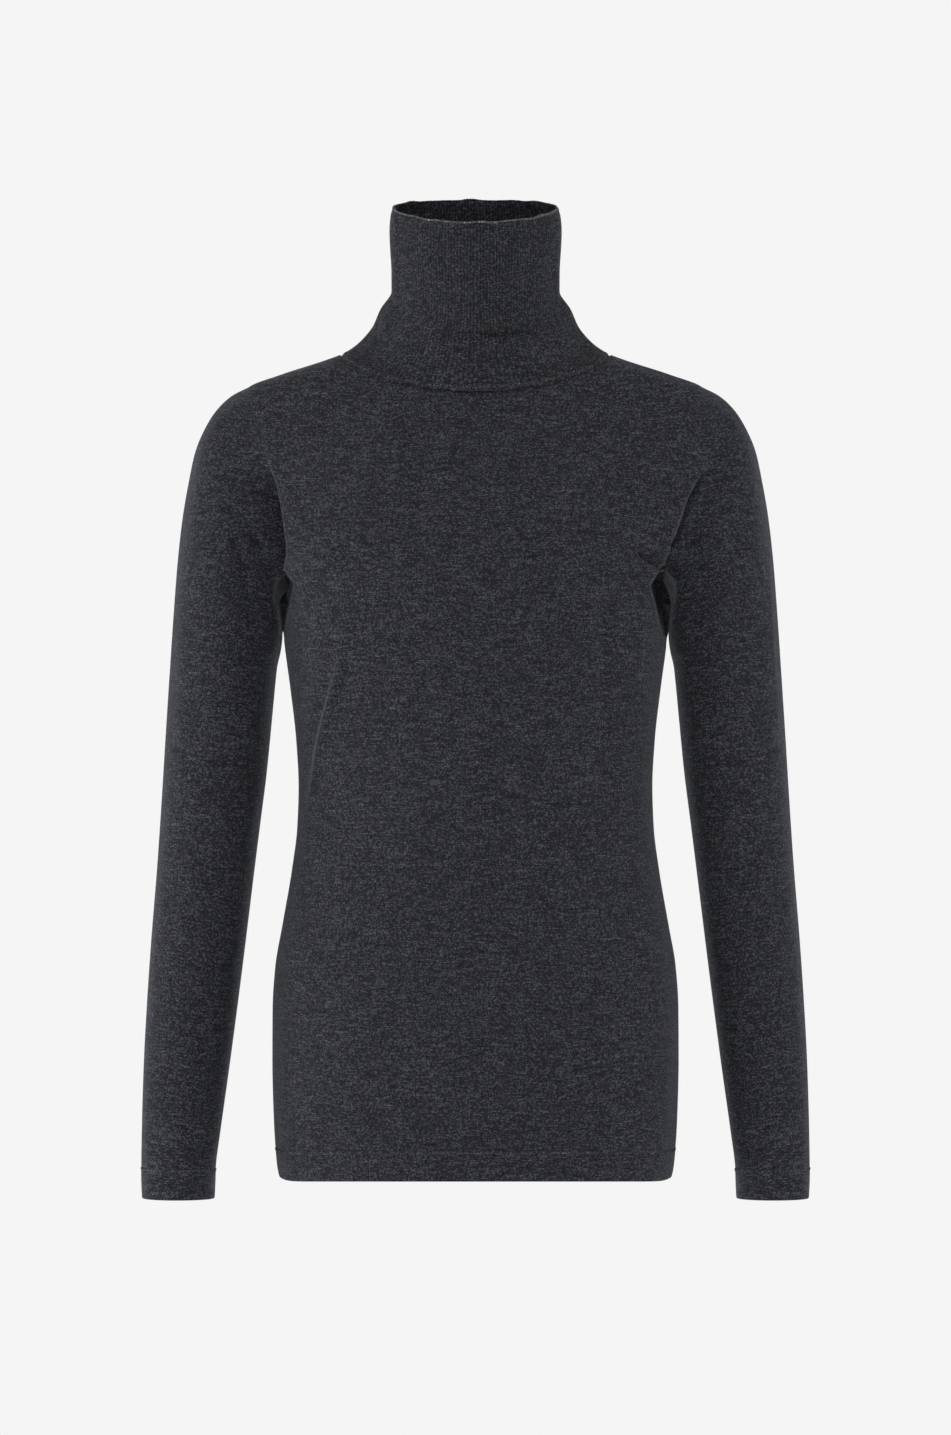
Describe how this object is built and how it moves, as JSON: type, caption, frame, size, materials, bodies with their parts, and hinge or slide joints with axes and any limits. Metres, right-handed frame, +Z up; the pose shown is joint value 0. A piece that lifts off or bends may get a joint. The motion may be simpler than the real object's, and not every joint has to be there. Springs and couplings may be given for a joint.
{
  "type": "turtleneck sweater",
  "caption": "fine knitted long-sleeved pullover with a tall standing collar, fitted body and straight sleeves, in its worn shape and empty inside",
  "frame": {"origin": "the middle of the neck, level with the neck points of the shoulder seams", "axes": "+X to the wearer's left, -Y out of the front, +Z up"},
  "size_m": [0.5134, 0.2015, 0.7699],
  "materials": {
    "jersey": "dark blue-grey heathered fine jersey, matt with a faint nap",
    "rib": "dark blue-grey heathered fine vertical rib, matt",
    "band": "dark blue-grey heathered double jersey band, matt"
  },
  "bodies": {
    "root": {"front": "jersey", "back": "jersey", "sleeve_left": "jersey", "sleeve_right": "jersey", "collar": "rib", "hem_front": "band", "hem_back": "band", "cuff_left": "band", "cuff_right": "band"}
  },
  "joints": []
}
